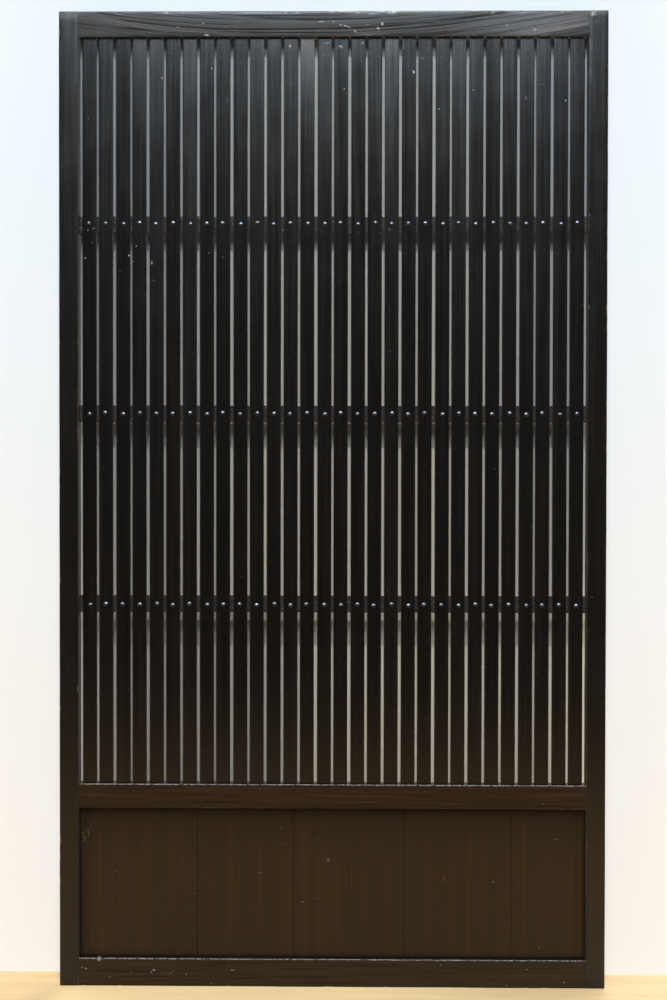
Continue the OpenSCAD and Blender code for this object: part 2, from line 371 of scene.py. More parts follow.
frame_arris = 0.0012
joint_play = 0.00015
panel_play = 0.0002
tenon_half = 0.0055
tenon_shoulder = 0.010
mortise_depth = 0.024
bar_house_depth = 0.0165
groove_depth = 0.008
groove_end_play = 0.0005
stile_corner = 0.0024


def box_corners(low, high, upright):
    """The four corners of a box's section, anticlockwise, seen along its length."""
    first, second = ("x", "y") if upright else ("y", "z")
    left, right = getattr(low, first), getattr(high, first)
    near, far = getattr(low, second), getattr(high, second)
    return (left, near), (right, near), (right, far), (left, far)


stile_wood = lacquered_wood("stile_lacquer", True, linear(15, 14, 12), linear(21, 17, 13), gloss=0.238)
panel_low, panel_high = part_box("panel_board_1")
stile_tone = {"left_stile": 0.3, "right_stile": 0.0}
stile_dust = {
    "left_stile": ((-0.478, 1.757, 0.03, 0.0095, 1.2),),
    "right_stile": ((0.48, 1.759, 0.03, 0.006, 0.8),),
}
dust_and_sheen_fall = 0.2
stile_marks = {
    "left_stile": ((-0.4815, 1.603, 0.002, 0.002, 0.9), (-0.472, 1.603, 0.0015, 0.002, 0.8),
                   (-0.463, 1.618, 0.002, 0.003, 0.8), (-0.462, 1.745, 0.004, 0.002, 1.0)),
    "right_stile": ((0.466, 1.756, 0.006, 0.007, 1.5), (0.470, 1.742, 0.010, 0.006, 0.4)),
}
marked_heights = np.concatenate((np.linspace(1.739, 1.759, 9), np.linspace(1.598, 1.622, 9)))
right_side, left_side = 1, 3
for node, piece_name, inner_side, inward, seed in (
    ("left_stile", "stile_left", right_side, 1, 11),
    ("right_stile", "stile_right", left_side, -1, 12),
):
    low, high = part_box(node)
    pockets = [
        (inner_side, panel_low.y - panel_play, panel_high.y + panel_play,
         panel_low.z, panel_high.z + groove_end_play, groove_depth)
    ]
    for rail in ("bottom_rail", "waist_rail", "top_rail"):
        rail_low, rail_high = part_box(rail)
        pockets.append(
            (inner_side, -tenon_half - joint_play, tenon_half + joint_play,
             rail_low.z + tenon_shoulder - joint_play, rail_high.z - tenon_shoulder + joint_play,
             mortise_depth)
        )
    for bar in ("lower_cross_bar", "middle_cross_bar", "upper_cross_bar"):
        bar_low, bar_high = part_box(bar)
        pockets.append(
            (inner_side, bar_low.y - joint_play, bar_high.y + joint_play,
             bar_low.z - joint_play, bar_high.z + joint_play, bar_house_depth)
        )
    points, traits = shaped_bar(
        box_corners(low, high, True), frame_arris, spacing=0.0045, stretch=(low.z, high.z), step=0.009,
        upright=True, seed=seed, hollow=0.00022, rub=0.0004, end_round=0.001, pockets=pockets,
        finer=marked_heights,
    )
    end_gap = np.minimum(points[..., 2] - low.z, high.z - points[..., 2])
    short = np.clip(stile_corner - end_gap, 0, stile_corner)
    drawn_in = stile_corner - np.sqrt(stile_corner ** 2 - short ** 2)
    points[..., 0] = np.clip(points[..., 0], cad_box[0].x + drawn_in, cad_box[1].x - drawn_in)
    scuffs_and_highlight = marks_on_front(points, stile_marks[node])
    # Dust and painted sheen: the colour greys a little towards the top; the listed corner patches are wear.
    dust_and_sheen_level = 0.12 * np.exp((points[..., 2] - high.z) / dust_and_sheen_fall)
    dust_and_sheen_level = np.maximum(marks_on_front(points, stile_dust[node]), dust_and_sheen_level)
    traits["flank"] = np.clip(inward * traits["flank"], 0, 1)
    traits |= {"tone": stile_tone[node], "scuff_and_highlight": scuffs_and_highlight, "dust_and_sheen": dust_and_sheen_level}
    stile = made_piece(piece_name, points, ring_faces(points), stile_wood, traits)
    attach(stile, "root")
    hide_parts(node)


# Bottom rail
# The heavy rail along the floor, of the same stained softwood, tenoned into the stiles at both ends.
# Its top is grooved for the panel, and its face carries the kicks and scrapes of daily use.

bottom_wood = lacquered_wood(
    "bottom_rail_lacquer", False, linear(50, 41, 30), linear(58, 46, 32), gloss=0.21, shine=0.08
)
low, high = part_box("bottom_rail")
clear_half = -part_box("left_stile")[1].x
under_side, upper_side = 0, 2
panel_groove = (panel_low.y - panel_play, panel_high.y + panel_play, -1, 1, groove_depth)
tenon_length = 0.0235
bottom_marks = (
    (-0.4523, 0.0335, 0.0025, 0.0014, 1), (-0.446, 0.0311, 0.0022, 0.0013, 1),
    (-0.4397, 0.029, 0.0029, 0.0014, 1), (-0.4315, 0.0326, 0.0022, 0.0013, 0.9),
    (-0.4228, 0.0492, 0.0036, 0.0043, 1.1), (-0.3643, 0.0246, 0.0029, 0.0018, 0.9),
    (-0.3282, 0.0261, 0.0029, 0.0016, 1.1), (-0.3219, 0.0291, 0.0054, 0.0014, 1.2),
    (-0.3164, 0.0279, 0.0022, 0.0014, 1.1), (-0.3074, 0.0261, 0.0033, 0.0014, 1.1),
    (-0.2997, 0.0246, 0.0027, 0.0013, 1), (-0.2929, 0.0239, 0.0033, 0.0013, 1),
    (-0.2865, 0.0279, 0.0016, 0.0025, 1), (-0.2621, 0.0217, 0.0029, 0.0018, 0.9),
    (-0.4025, 0.0163, 0.0036, 0.0029, 0.8), (-0.1787, 0.0302, 0.0047, 0.0016, 0.9),
    (-0.1225, 0.0185, 0.0063, 0.0013, 0.8), (-0.2186, 0.0062, 0.0029, 0.0018, 0.9),
    (0.1983, 0.0424, 0.004, 0.0018, 0.7), (0.3532, 0.0335, 0.004, 0.0018, 0.9),
    (0.3175, 0.0045, 0.004, 0.0018, 0.9), (0.3389, 0.0031, 0.0029, 0.0018, 0.8),
    (0.4201, 0.011, 0.0029, 0.0018, 0.8),
)


def tenon_of(low, high):
    """Length of a rail's tenon and the shares of the rail's thickness and height that it keeps."""
    height = high.z - low.z
    return tenon_length, 2 * tenon_half / (high.y - low.y), (height - 2 * tenon_shoulder) / height


def upper_arris(points, arris, low, high):
    """1 along the front upper arris of a rail, fading with the fourth power of its nearness."""
    band = 0.003
    close = (points[..., 2] > high.z - band) & (points[..., 1] < low.y + band)
    return close * arris ** 4


points, traits = shaped_bar(
    box_corners(low, high, False), frame_arris, spacing=0.002, stretch=(-clear_half, clear_half), step=0.003,
    upright=False, seed=21, hollow=0.00022, rub=0.0005, pockets=[(upper_side, *panel_groove)],
    tenon=tenon_of(low, high),
)
# Painted highlight: a broken pale line along the front upper arris, where the light catches it, joins the
# scrapes.
arris_line = upper_arris(points, traits["arris"], low, high)
scuffs_and_highlight = np.maximum(1.35 * marks_on_front(points, bottom_marks), 1.1 * arris_line)
traits |= {"tone": 0.15, "flank": 0.0, "scuff_and_highlight": scuffs_and_highlight, "dust_and_sheen": 0.0}
bottom = made_piece("rail_bottom", points, ring_faces(points), bottom_wood, traits)
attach(bottom, "root")
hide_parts("bottom_rail")


# Waist rail
# The rail between the lattice and the panel, of the same wood, tenoned into the stiles. It is grooved below
# for the panel boards, and thirty housings in its top hold the feet of the slats.

waist_wood = lacquered_wood(
    "waist_rail_lacquer", False, linear(46, 35, 24), linear(59, 44, 29), gloss=0.21, shine=0.08
)
low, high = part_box("waist_rail")
slat_nodes = sorted(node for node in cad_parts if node.startswith("slat_"))
slat_boxes = [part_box(node) for node in slat_nodes]
slat_housing = 0.008


def slat_housings(side):
    """A pocket on one side of a rail for the end of each slat, with the joint's play all round."""
    return [
        (side, slat_low.y - joint_play, slat_high.y + joint_play,
         slat_low.x - joint_play, slat_high.x + joint_play, slat_housing)
        for slat_low, slat_high in slat_boxes
    ]


points, traits = shaped_bar(
    box_corners(low, high, False), frame_arris, spacing=0.004, stretch=(-clear_half, clear_half), step=0.007,
    upright=False, seed=31, hollow=0.0002, rub=0.00045,
    pockets=[(under_side, *panel_groove)] + slat_housings(upper_side), tenon=tenon_of(low, high),
)
# Painted highlight: a broken pale line along the front upper arris, where the light catches it.
arris_line = upper_arris(points, traits["arris"], low, high)
traits |= {"tone": 0.75, "flank": 0.0, "scuff_and_highlight": 1.1 * arris_line, "dust_and_sheen": 0.0}
waist = made_piece("rail_waist", points, ring_faces(points), waist_wood, traits)
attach(waist, "root")
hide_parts("waist_rail")


# Top rail
# The head of the frame, tenoned into the stiles, with housings below for the tops of the slats.
# It was cut from a wilder plank: open grain sweeps across its face, and its upper edge is chipped.

top_wood = lacquered_wood(
    "top_rail_lacquer", False, linear(59, 59, 60), linear(75, 75, 75), gloss=0.18, shine=0.3, pores=0.15,
    open_grain=1.0, slope=0.025, sweep=0.19,
)
low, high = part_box("top_rail")
points, traits = shaped_bar(
    box_corners(low, high, False), frame_arris, spacing=0.002, stretch=(-clear_half, clear_half), step=0.003,
    upright=False, seed=41, hollow=0.00015, rub=0.0004, pockets=slat_housings(under_side),
    tenon=tenon_of(low, high),
)
top_marks = (
    (-0.2987, 1.7591, 0.0144, 0.0018, 0.8), (-0.2663, 1.7587, 0.018, 0.0016, 0.65),
    (-0.2831, 1.7524, 0.0018, 0.0018, 1), (-0.233, 1.7405, 0.0032, 0.0018, 1.1),
    (-0.2465, 1.7343, 0.0027, 0.0022, 0.7), (-0.2789, 1.732, 0.0018, 0.0027, 0.8),
    (-0.2258, 1.7193, 0.0063, 0.0022, 1), (-0.1746, 1.7329, 0.0032, 0.0027, 0.6),
    (-0.1836, 1.7428, 0.0252, 0.0013, 0.5), (-0.0846, 1.7591, 0.0045, 0.0018, 0.8),
    (-0.0657, 1.7598, 0.0045, 0.0018, 0.8), (-0.0216, 1.7428, 0.009, 0.0014, 1),
    (0, 1.7419, 0.0029, 0.0018, 1.1), (0.0144, 1.737, 0.0041, 0.0014, 1),
    (0.0216, 1.7351, 0.0041, 0.0014, 1), (0.0288, 1.7327, 0.0041, 0.0014, 1),
    (0.0389, 1.7247, 0.0034, 0.0027, 1.2), (0.0459, 1.7325, 0.0036, 0.0018, 0.9),
    (0.0594, 1.7365, 0.0054, 0.0036, 0.6), (0.081, 1.7307, 0.004, 0.0022, 1.3),
    (0.0882, 1.7383, 0.0023, 0.0033, 1.3), (0.0999, 1.758, 0.004, 0.0018, 1.1),
    (-0.0252, 1.7266, 0.0016, 0.0016, 1), (-0.009, 1.732, 0.0054, 0.0014, 0.65),
    (0.0648, 1.7184, 0.0108, 0.0014, 0.6), (0.329, 1.7533, 0.004, 0.002, 0.9),
    (0.3329, 1.7461, 0.0029, 0.0029, 0.8), (0.3128, 1.7351, 0.004, 0.002, 0.8),
    (0.361, 1.728, 0.004, 0.004, 0.9), (0.4085, 1.7591, 0.054, 0.0016, 0.6),
)
# Patches where the colour is paler, most of them at the right end.
top_pale_patches = ((0.40, 1.735, 0.13, 0.04, 1.3), (0.37, 1.7195, 0.05, 0.004, 1.6), (-0.40, 1.73, 0.06, 0.03, 0.3))
# Painted shade: the front upper arris, which catches the light, loses most of its wear colour and is
# darkened.
arris_line = upper_arris(points, traits["arris"], low, high)
traits["wear"] = traits["wear"] * (1 - 0.7 * arris_line)
traits |= {"tone": 0.4, "flank": 0.0, "scuff_and_highlight": 1.3 * marks_on_front(points, top_marks)}
traits |= {"dust_and_sheen": marks_on_front(points, top_pale_patches), "painted_shade": 0.6 * arris_line}
top = made_piece("rail_top", points, ring_faces(points), top_wood, traits)
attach(top, "root")
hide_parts("top_rail")


# Panel boards
# Five thin upright boards fill the opening under the waist rail, half-lapped over each other at their edges.
# They stand loose in the groove, painted shade darkens them along it, and the red of the wood shows through
# the stain.

panel_wood = lacquered_wood(
    "panel_lacquer", True, linear(51, 41, 28), linear(58, 43, 29), gloss=0.20, shine=0.06, pores=0.08,
    breadth=0.55, rubbed=linear(86, 52, 29),
)
board_count = 5
lap = 0.008
lap_play = 0.0001
tight_arris, open_arris = 0.0001, 0.0005
joint_arris = (tight_arris, tight_arris, open_arris, open_arris, tight_arris, tight_arris)
board_tones = (0.62, 0.20, 0.47, 0.83, 0.08)
panel_marks = (
    (-0.4515, 0.272, 0.004, 0.02, 0.78), (-0.44, 0.28, 0.01, 0.02, 0.58),
    (-0.0065, 0.229, 0.0025, 0.0025, 2.5), (0.376, 0.071, 0.004, 0.004, 0.9),
    (-0.366, 0.221, 0.0025, 0.0025, 1.6),
)
panel_rubs = (
    (-0.436, 0.085, 0.003, 0.022, 0.9), (-0.372, 0.26, 0.004, 0.05, 0.6), (-0.33, 0.16, 0.004, 0.05, 0.6),
    (0.036, 0.2, 0.0025, 0.045, 0.75), (0.204, 0.197, 0.003, 0.012, 1.0), (0.2065, 0.165, 0.002, 0.03, 0.8),
    (0.213, 0.11, 0.002, 0.04, 0.65), (0.421, 0.187, 0.003, 0.02, 0.7),
)
edge_shade_reach = 0.0035
head_shade_reach = 0.006
head_shade = 0.051
for number in range(1, board_count + 1):
    low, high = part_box(f"panel_board_{number}")
    front_left, back_left = (low.x, low.x) if number == 1 else (low.x, low.x + lap)
    front_right, back_right = (high.x, high.x) if number == board_count else (high.x - lap, high.x)
    corners = [(front_left, low.y), (front_right, low.y)]
    if number < board_count:
        corners += [(front_right, lap_play), (back_right, lap_play)]
    corners += [(back_right, high.y), (back_left, high.y)]
    if number > 1:
        corners += [(back_left, -lap_play), (front_left, -lap_play)]
    arrises = np.full(len(corners), tight_arris)
    arrises[:2] = joint_arris[number - 1:number + 1]
    points, traits = shaped_bar(
        corners, arrises, spacing=0.003, stretch=(low.z, high.z), step=0.004, upright=True, seed=50 + number,
        hollow=0.00015, rub=0.0001,
    )
    traits["wear"] = np.maximum(0.3 * traits["wear"], marks_on_front(points, panel_rubs))
    traits["flank"] = np.abs(traits["flank"])
    # Painted shade: dark along the groove all round, and a wider soft band under the waist rail where its
    # shadow falls.
    edge_gap = np.minimum(points[..., 2] - low.z - groove_depth, clear_half - np.abs(points[..., 0]))
    edge_gap = np.clip(edge_gap, 0, 1)
    head_gap = np.clip(high.z - groove_depth - points[..., 2], 0, 1)
    painted_shade = np.maximum(np.exp(-edge_gap / edge_shade_reach), 0.85 * np.exp(-head_gap / head_shade_reach))
    painted_shade = np.maximum(painted_shade, 0.5 * np.exp(-(head_gap / head_shade) ** 1.5))
    traits |= {"tone": board_tones[number - 1], "scuff_and_highlight": marks_on_front(points, panel_marks)}
    traits |= {"dust_and_sheen": 0.0, "painted_shade": painted_shade}
    board = made_piece(f"board_{number}", points, ring_faces(points), panel_wood, traits)
    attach(board, "root")
    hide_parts(f"panel_board_{number}")


# Cross bars
# Three thin level bars behind the slats, let into housings in the stiles at both ends.
# The slats are nailed to their front, and only short lengths of them show between the slats.

bar_wood = lacquered_wood("cross_bar_lacquer", False, linear(57, 53, 51), linear(64, 59, 55), gloss=0.17)
bar_arris = 0.0008
for node, piece_name, seed, tone in (
    ("lower_cross_bar", "bar_lower", 61, 0.27),
    ("middle_cross_bar", "bar_middle", 62, 0.54),
    ("upper_cross_bar", "bar_upper", 63, 0.81),
):
    low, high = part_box(node)
    points, traits = shaped_bar(
        box_corners(low, high, False), bar_arris, spacing=0.004, stretch=(low.x, high.x), step=0.008,
        upright=False, seed=seed, hollow=0.0002, rub=0.0002,
    )
    traits["wear"] = 0.7 * traits["wear"]
    traits |= {"tone": tone, "flank": 0.0, "scuff_and_highlight": 0.38, "dust_and_sheen": 0.1}
    bar = made_piece(piece_name, points, ring_faces(points), bar_wood, traits)
    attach(bar, "root")
    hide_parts(node)


# Slats
# Thirty thin flat slats stand side by side with narrow gaps, their ends in the housings of two rails.
# Each was planed by hand, so each is a little bowed, and its lacquer has its own tone and scratches.

slat_wood = lacquered_wood("slat_lacquer", True, linear(12, 11, 10), linear(19, 16, 13), gloss=0.190)
slat_arris = 0.0008
slat_bow = 0.00012
# Slats whose tops are painted paler, as a painted sheen.
pale_slats = {14: 1.0, 19: 0.25, 4: 0.2, 27: 0.25}
pale_fall = 0.07
slat_dust_and_sheen_fall = 0.18
slat_marks = (
    (-0.4434, 1.3704, 0.0025, 0.002, 1.0), (-0.4329, 1.3735, 0.002, 0.003, 0.9),
    (-0.4343, 1.3478, 0.0015, 0.0015, 0.8), (-0.448, 1.3206, 0.0015, 0.004, 0.8),
    (-0.3539, 1.341, 0.002, 0.002, 1.0), (-0.3684, 1.3246, 0.0025, 0.0025, 0.9),
    (-0.3606, 1.3134, 0.0015, 0.002, 0.8), (-0.3273, 1.312, 0.0025, 0.005, 0.8),
    (-0.3832, 1.298, 0.003, 0.003, 0.7), (-0.3244, 1.279, 0.004, 0.0015, 0.7),
    (-0.2238, 1.3297, 0.002, 0.0015, 0.9), (-0.3365, 1.663, 0.002, 0.004, 0.9),
    (-0.308, 1.6435, 0.0015, 0.004, 0.8), (-0.219, 1.6615, 0.002, 0.003, 0.8),
    (-0.442, 1.5695, 0.0015, 0.008, 0.7), (-0.409, 1.559, 0.005, 0.002, 0.6),
    (-0.190, 1.604, 0.002, 0.006, 0.6), (-0.0777, 1.701, 0.003, 0.005, 0.9),
    (-0.011, 1.706, 0.005, 0.002, 1.0), (0.013, 1.7, 0.005, 0.004, 0.9), (0.054, 1.706, 0.004, 0.002, 0.7),
    (0.102, 1.372, 0.002, 0.003, 0.7), (0.047, 1.3665, 0.003, 0.002, 0.6),
    (0.1452, 1.6542, 0.0025, 0.0036, 1.2), (0.0198, 1.6244, 0.0018, 0.0022, 1),
    (0.2523, 1.622, 0.0032, 0.0018, 0.9), (0.191, 1.5882, 0.0022, 0.0018, 0.9),
    (0.1613, 1.6786, 0.0029, 0.0018, 0.8), (0.205, 1.6763, 0.0022, 0.0029, 0.8),
    (0.3477, 1.6063, 0.0018, 0.0054, 0.9), (0.3775, 1.6311, 0.0063, 0.0013, 0.8),
    (0.4189, 1.6018, 0.0022, 0.0036, 1),
)
around_mark = np.linspace(-0.0067, 0.0071, 9)
slat_chance = np.random.default_rng(7)
for number, (low, high) in enumerate(slat_boxes, 1):
    own_marks = [mark for mark in slat_marks if low.x < mark[0] < high.x]
    finer = [mark[1] + offset for mark in own_marks for offset in around_mark]
    points, traits = shaped_bar(
        box_corners(low, high, True), slat_arris, spacing=0.0022, stretch=(low.z, high.z), step=0.011,
        upright=True, seed=100 + number, hollow=0.00005, rub=0.0001, finer=finer,
    )
    rise = (points[..., 2] - low.z) / (high.z - low.z)
    bow = slat_chance.uniform(-slat_bow, slat_bow, 3)
    points[..., 0] += bow[0] * np.sin(math.pi * rise) + bow[1] * np.sin(3 * math.pi * rise)
    points[..., 1] += np.abs(bow[2]) * np.sin(4 * math.pi * rise) ** 2
    # Painted sheen and dust: the pale slats grey near the top, and every slat greys a little towards it, with
    # specks.
    from_top = high.z - points[..., 2]
    dust_and_sheen_level = pale_slats.get(number, 0.05) * np.exp(-from_top / pale_fall)
    dust_and_sheen_level = dust_and_sheen_level + 0.12 * np.exp(-from_top / slat_dust_and_sheen_fall)
    scuffs_and_highlight = np.maximum(1.5 * marks_on_front(points, own_marks), 0.03)
    traits["wear"] = 0.5 * traits["wear"]
    traits["flank"] = np.abs(traits["flank"])
    traits |= {"tone": slat_chance.uniform(), "scuff_and_highlight": scuffs_and_highlight, "dust_and_sheen": dust_and_sheen_level}
    slat = made_piece(f"lath_{number:02d}", points, ring_faces(points), slat_wood, traits)
    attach(slat, "root")
    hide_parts(slat_nodes[number - 1])


# Nails
# Ninety hand-forged iron nails with domed heads, one through each slat into each cross bar.
# The heads were hammered round and blackened with the wood, and they still catch the light.

def forged_iron(name):
    """Blackened iron with small hammered facets, bluish bare metal where the head's trait says so: partly
    rubbed iron, partly a painted highlight.
    """
    black_iron, bare_and_highlight_iron = linear(20, 19, 18), linear(142, 158, 184)
    material = bpy.data.materials.new(name)
    material.use_nodes = True
    tree = material.node_tree
    shader = tree.nodes["Principled BSDF"]
    place = Term(tree).node("ShaderNodeTexCoord", {}, {}, "Object")
    bright = place.node("ShaderNodeAttribute", {"attribute_name": "bright"}, {}, "Fac")
    patches = place.noise((420, 420, 420), 3)
    facets = place.noise((520, 520, 520), 1)
    bright = (bright + 0.8 * patches - 0.4).between(0.35, 0.75)
    colour = bright.blend(black_iron, bare_and_highlight_iron)
    rough = 0.36 - 0.08 * bright + 0.08 * patches
    relief = place.node("ShaderNodeBump", {}, {"Strength": 0.2, "Distance": 0.0004, "Height": facets})
    tree.links.new(colour.socket, shader.inputs["Base Color"])
    tree.links.new(rough.socket, shader.inputs["Roughness"])
    tree.links.new((0.9 * bright).socket, shader.inputs["Metallic"])
    tree.links.new(relief.socket, shader.inputs["Normal"])
    return material


nail_head_radius = 0.0045
nail_dome = 0.0032


def row_of_nails(centres, head_face, turn_count, chance):
    """Nails turned from one profile, which goes from the point up the shank, out under the head and over its
    dome, at r cos a from the middle and h (sin a)^0.9 in front of the slat. Each head is a little out of
    round by cos 2a and cos 3a, a little flattened, and its top leans."""
    shank_radius, shank_length, point_length = 0.0013, 0.017, 0.004
    lift = np.linspace(0, math.pi / 2, 8)[:-1]
    radius = np.array((shank_radius, shank_radius, nail_head_radius * 0.93))
    radius = np.concatenate((radius, nail_head_radius * np.cos(lift)))
    depth = np.concatenate(((shank_length - point_length, 0.0, 0.0), -nail_dome * np.sin(lift) ** 0.9))
    head = np.concatenate(((0, 0, 1), np.ones(len(lift))))
    angle = np.linspace(0, 2 * math.pi, turn_count, endpoint=False)
    count = len(centres)
    lobes = chance.uniform(0, 0.05, (count, 2, 1, 1))
    phase = chance.uniform(0, 2 * math.pi, (count, 2, 1, 1))
    uneven = 1 - lobes.sum(1) + lobes[:, 0] * np.cos(2 * angle + phase[:, 0])
    uneven = uneven + lobes[:, 1] * np.cos(3 * angle + phase[:, 1])
    spread = radius[:, None] * np.where(head[:, None] > 0, uneven, 1.0)
    lean = chance.uniform(-0.0004, 0.0004, (count, 2, 1))
    raised = np.clip(-depth / nail_dome, 0, 1)
    flat = chance.uniform(0.82, 1.0, (count, 1, 1))
    x = centres[:, 0, None, None] + spread * np.cos(angle) + (lean[:, 0] * raised)[..., None]
    z = centres[:, 2, None, None] + spread * np.sin(angle) + (lean[:, 1] * raised)[..., None]
    y = head_face + depth[:, None] * np.where(depth[:, None] < 0, flat, 1.0)
    rings = np.stack(np.broadcast_arrays(x, y, z), axis=-1).reshape(count, -1, 3)
    tip = np.stack((centres[:, 0], np.full(count, head_face + shank_length), centres[:, 2]), axis=1)
    crown_x, crown_z = centres[:, 0] + lean[:, 0, 0], centres[:, 2] + lean[:, 1, 0]
    crown = np.stack((crown_x, head_face - nail_dome * flat[:, 0, 0], crown_z), axis=1)
    points = np.concatenate((rings, tip[:, None], crown[:, None]), axis=1)
    ring = np.arange(len(radius) * turn_count).reshape(len(radius), turn_count)
    beside = np.roll(ring, -1, axis=1)
    sides = np.stack((ring[:-1], beside[:-1], beside[1:], ring[1:]), axis=-1).reshape(-1, 4)
    tip_fan = np.stack((ring[0], np.full(turn_count, ring.size), beside[0]), axis=-1)
    crown_fan = np.stack((beside[-1], np.full(turn_count, ring.size + 1), ring[-1]), axis=-1)
    shift = np.arange(count)[:, None, None] * (ring.size + 2)
    faces = (sides + shift).reshape(-1, 4).tolist()
    faces += (tip_fan + shift).reshape(-1, 3).tolist() + (crown_fan + shift).reshape(-1, 3).tolist()
    return points, faces


nail_iron = forged_iron("nail_iron")
nail_chance = np.random.default_rng(23)
between_nails = 0.01
slat_face = slat_boxes[0][0].y
for node, piece_name in (
    ("lower_nail_row", "nails_lower"),
    ("middle_nail_row", "nails_middle"),
    ("upper_nail_row", "nails_upper"),
):
    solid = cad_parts[node].data.vertices
    spots = np.empty(3 * len(solid), np.float32)
    solid.foreach_get("co", spots)
    spots = spots.reshape(-1, 3).astype(float)
    spots = spots[np.argsort(spots[:, 0])]
    nails = np.split(spots, np.flatnonzero(np.diff(spots[:, 0]) > between_nails) + 1)
    centres = np.array([(nail.min(0) + nail.max(0)) / 2 for nail in nails])
    points, faces = row_of_nails(centres, slat_face, turn_count=16, chance=nail_chance)
    # Painted highlight, partly bare metal: the upper front of each dome is bluish bare iron, where the light
    # catches it.
    above = (points[..., 2] - centres[:, None, 2]) / nail_head_radius
    front = (slat_face - points[..., 1]) / nail_dome
    traits = {"bright": np.clip(1.6 * above + 0.3, 0, 1) * np.clip(2 * front, 0, 1)}
    nail_row = made_piece(piece_name, points, faces, nail_iron, traits)
    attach(nail_row, "root")
    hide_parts(node)


# Floor and wall
# A plain pale floor for the door to stand on, and a plain pale wall that nearly touches its back at the top.
# The wall shows only from its front and lets light from behind through, so the door's back can be seen.
# Part of what the camera sees of both is a glow, which evens out the door's own shade.

def flat_sheet(name, corners, finish):
    """A plane grid between four corners, each point a weighted mean of them."""
    lines = 9
    corners = np.asarray(corners, float)
    across, up = np.meshgrid(np.linspace(0, 1, lines), np.linspace(0, 1, lines))
    across, up = across[..., None], up[..., None]
    points = (1 - up) * ((1 - across) * corners[0] + across * corners[1])
    points = points + up * ((1 - across) * corners[3] + across * corners[2])
    index = np.arange(lines * lines).reshape(lines, lines)
    faces = np.stack((index[:-1, :-1], index[:-1, 1:], index[1:, 1:], index[1:, :-1]), axis=-1)
    return made_piece(name, points, faces.reshape(-1, 4).tolist(), finish, {})


black = (0, 0, 0, 1)
floor_finish = bpy.data.materials.new("pale_floor")
floor_finish.use_nodes = True
floor_tree = floor_finish.node_tree
floor_shader = floor_tree.nodes["Principled BSDF"]
floor_shader.inputs["Roughness"].default_value = 0.7
floor_shader.inputs["Specular IOR Level"].default_value = 0.05
floor_shader.inputs["Emission Strength"].default_value = 1.0
floor_place = Term(floor_tree).node("ShaderNodeTexCoord", {}, {}, "Object")
floor_x, floor_y = (floor_place.node("ShaderNodeSeparateXYZ", {}, {0: floor_place}, axis) for axis in "XY")
floor_seen = floor_place.node("ShaderNodeLightPath", {}, {}, "Is Camera Ray")
floor_grain = floor_place.noise((2.5, 30, 1), 4).between(0.3, 0.7)
floor_colour = floor_grain.blend(linear(232, 201, 154), linear(242, 214, 166))
# Painted shade for every ray but the camera's: the floor turns warmer from 0.1 m in front of the door and
# darker further off.
floor_off = 0 - floor_y
floor_bounce = floor_off.between(0.1, 0.5).blend(floor_colour, linear(228, 184, 126))
floor_bounce = floor_off.between(0.6, 4.0).blend(floor_bounce, linear(60, 44, 28))
floor_colour = floor_seen.blend(floor_bounce, floor_colour)
# Painted light: the camera sees a glow on the floor in front of the door, weaker to the right, where the door
# shades it from the lamp behind.
before_door = 1 - floor_x.unsigned().between(0.46, 0.53)
floor_glow = before_door * floor_seen * (1 - 0.7 * floor_x.between(0.0, 0.45))
floor_glow = floor_glow.blend(black, (0.27, 0.215, 0.11, 1))
floor_tree.links.new(floor_colour.socket, floor_shader.inputs["Base Color"])
floor_tree.links.new(floor_glow.socket, floor_shader.inputs["Emission Color"])
floor = flat_sheet("floor", ((-6, -7, 0), (6, -7, 0), (6, 6, 0), (-6, 6, 0)), floor_finish)

wall_finish = bpy.data.materials.new("pale_wall")
wall_finish.use_nodes = True
wall_tree = wall_finish.node_tree
wall_shader = wall_tree.nodes["Principled BSDF"]
wall_shader.inputs["Roughness"].default_value = 0.9
wall_shader.inputs["Emission Strength"].default_value = 1.0
wall_place = Term(wall_tree).node("ShaderNodeTexCoord", {}, {}, "Object")
wall_x, wall_z = (wall_place.node("ShaderNodeSeparateXYZ", {}, {0: wall_place}, axis) for axis in "XZ")
wall_seen = wall_place.node("ShaderNodeLightPath", {}, {}, "Is Camera Ray")
# Painted shade behind the door: the wall there is greyer towards the top and dimmer at the upper sides and
# lower left, and the camera sees a faint glow at its lower right.
wall_low = 1 - wall_z.between(0.55, 0.8)
wall_right = wall_x.between(-0.15, 0.02)
wall_aside = (wall_x - 0.04).unsigned().between(0.12, 0.42)
wall_dim = (wall_aside * (1 - wall_low)).most(wall_low * (1 - wall_right))
behind_fair = wall_z.between(0.35, 1.7).blend(linear(255, 250, 233), linear(181, 186, 189))
behind_dim = wall_z.between(0.35, 1.7).blend(linear(229, 230, 225), linear(159, 170, 184))
beside_glow = wall_z.between(0.0, 1.7).blend(linear(251, 247, 241), linear(241, 250, 255))
beside_colour = wall_z.between(0.2, 1.7).blend(linear(242, 240, 236), linear(224, 237, 250))
beside_door = wall_x.unsigned().between(0.486, 0.496).most(wall_z.between(1.755, 1.768))
wall_colour = beside_door.blend(wall_dim.blend(behind_fair, behind_dim), beside_colour)
behind_glow = wall_low * wall_right * wall_seen * (1 - beside_door)
behind_glow = behind_glow.blend(black, (0.07, 0.065, 0.05, 1))
glow_share = 0.65 * beside_door * wall_seen
wall_colour = glow_share.blend(wall_colour, black)
wall_glow = glow_share.blend(behind_glow, beside_glow)
wall_tree.links.new(wall_colour.socket, wall_shader.inputs["Base Color"])
wall_tree.links.new(wall_glow.socket, wall_shader.inputs["Emission Color"])
wall_face = Term(wall_tree, wall_shader.outputs[0])
from_behind = wall_place.node("ShaderNodeNewGeometry", {}, {}, "Backfacing")
from_behind = from_behind.most(wall_place.node("ShaderNodeLightPath", {}, {}, "Is Shadow Ray"))
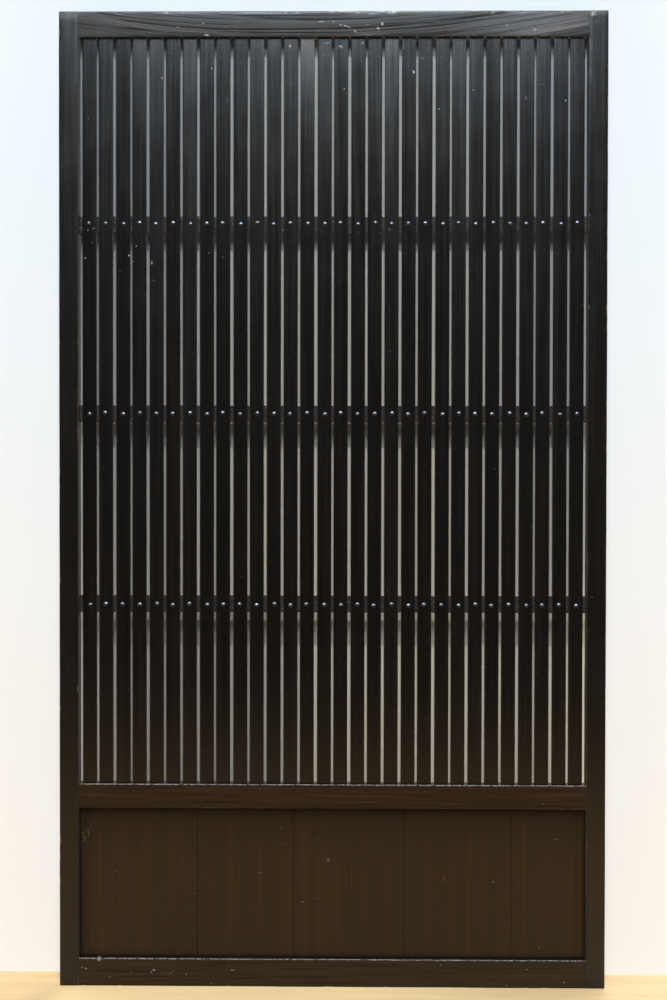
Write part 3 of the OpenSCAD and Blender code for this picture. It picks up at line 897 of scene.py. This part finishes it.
clear = wall_place.node("ShaderNodeBsdfTransparent", {}, {})
one_sided = wall_place.node("ShaderNodeMixShader", {}, {0: from_behind, 1: wall_face, 2: clear})
wall_tree.links.new(one_sided.socket, wall_tree.nodes["Material Output"].inputs["Surface"])
wall_base, wall_top, wall_height, wall_half = 0.0765, -0.0075, 2.5, 1.7
wall = flat_sheet(
    "wall",
    ((-wall_half, wall_base, 0), (wall_half, wall_base, 0),
     (wall_half, wall_top, wall_height), (-wall_half, wall_top, wall_height)),
    wall_finish,
)


# Light
# A wide cool lamp far in front gives the sheen that fades down the lattice, and two small warm lamps high in
# front throw the narrow shadows of the rails and bars on the wall. Two low lamps light the edges, one lamp
# behind lights the back, and a dim sky fills the shadows.

def soft_lamp(name, place, aim, width, height, power, colour):
    """An oblong lamp at a place, facing its aim, that the camera doesn't see."""
    lamp = bpy.data.lights.new(name, "AREA")
    lamp.shape = "RECTANGLE"
    lamp.size = width
    lamp.size_y = height
    lamp.energy = power
    lamp.color = colour
    holder = bpy.data.objects.new(name, lamp)
    holder.location = place
    holder.rotation_mode = "QUATERNION"
    holder.rotation_quaternion = (Vector(aim) - Vector(place)).to_track_quat("-Z", "Y")
    holder.visible_camera = False
    bpy.context.scene.collection.objects.link(holder)


soft_lamp(
    "lamp_front", (-0.15, -6.0, 4.1), aim=(0, 0, 0.7), width=2.6, height=0.8, power=146,
    colour=(0.73, 0.87, 1.0),
)
soft_lamp(
    "lamp_between", (0.1, -4.4, 4.0), aim=(0, 0, 0.8), width=0.3, height=0.2, power=36,
    colour=(1.0, 0.94, 0.85),
)
soft_lamp(
    "lamp_above", (0.08, -2.7, 3.9), aim=(0, -0.1, 0.7), width=0.28, height=0.18, power=71,
    colour=(1.0, 0.95, 0.87),
)
for lamp_name, way in (("lamp_left", -1), ("lamp_right", 1)):
    soft_lamp(
        lamp_name, (3.2 * way, -1.6, 0.6), aim=(0.4 * way, 0, 0.4), width=1.0, height=0.8, power=24,
        colour=(1.0, 0.98, 0.95),
    )
soft_lamp(
    "lamp_behind", (0.8, 3.2, 1.4), aim=(0, 0, 0.9), width=2.0, height=1.4, power=80,
    colour=(1.0, 0.99, 0.97),
)

sky = bpy.data.worlds.new("dim_studio")
sky.use_nodes = True
sky_start = Term(sky.node_tree)
sky_place = sky_start.node("ShaderNodeTexCoord", {}, {}, "Generated")
sky_height = sky_start.node("ShaderNodeSeparateXYZ", {}, {0: sky_place}, "Z")
sky_colour = sky_height.between(0.3, 0.8).blend((0.06, 0.06, 0.06, 1), (0.40, 0.43, 0.47, 1))
sky.node_tree.links.new(sky_colour.socket, sky.node_tree.nodes["Background"].inputs["Color"])
bpy.context.scene.world = sky
bpy.context.scene.view_settings.view_transform = "Standard"


# Camera
# It stands in front of the door, a little above mid height and just right of its middle.
# It is turned slightly down and to the left, with a trace of roll.

lens = bpy.data.cameras.new("front_view")
lens.sensor_width = 36
lens.lens = 65.54
camera = bpy.data.objects.new("front_view", lens)
camera.location = (0.0508, -3.3, 0.9426)
camera.rotation_mode = "QUATERNION"
camera_aim = Vector((0.0021, -0.0165, 0.8834)) - camera.location
camera_roll = Quaternion((0, 0, 1), math.radians(0.0909))
camera.rotation_quaternion = camera_aim.to_track_quat("-Z", "Y") @ camera_roll
bpy.context.scene.collection.objects.link(camera)
bpy.context.scene.camera = camera
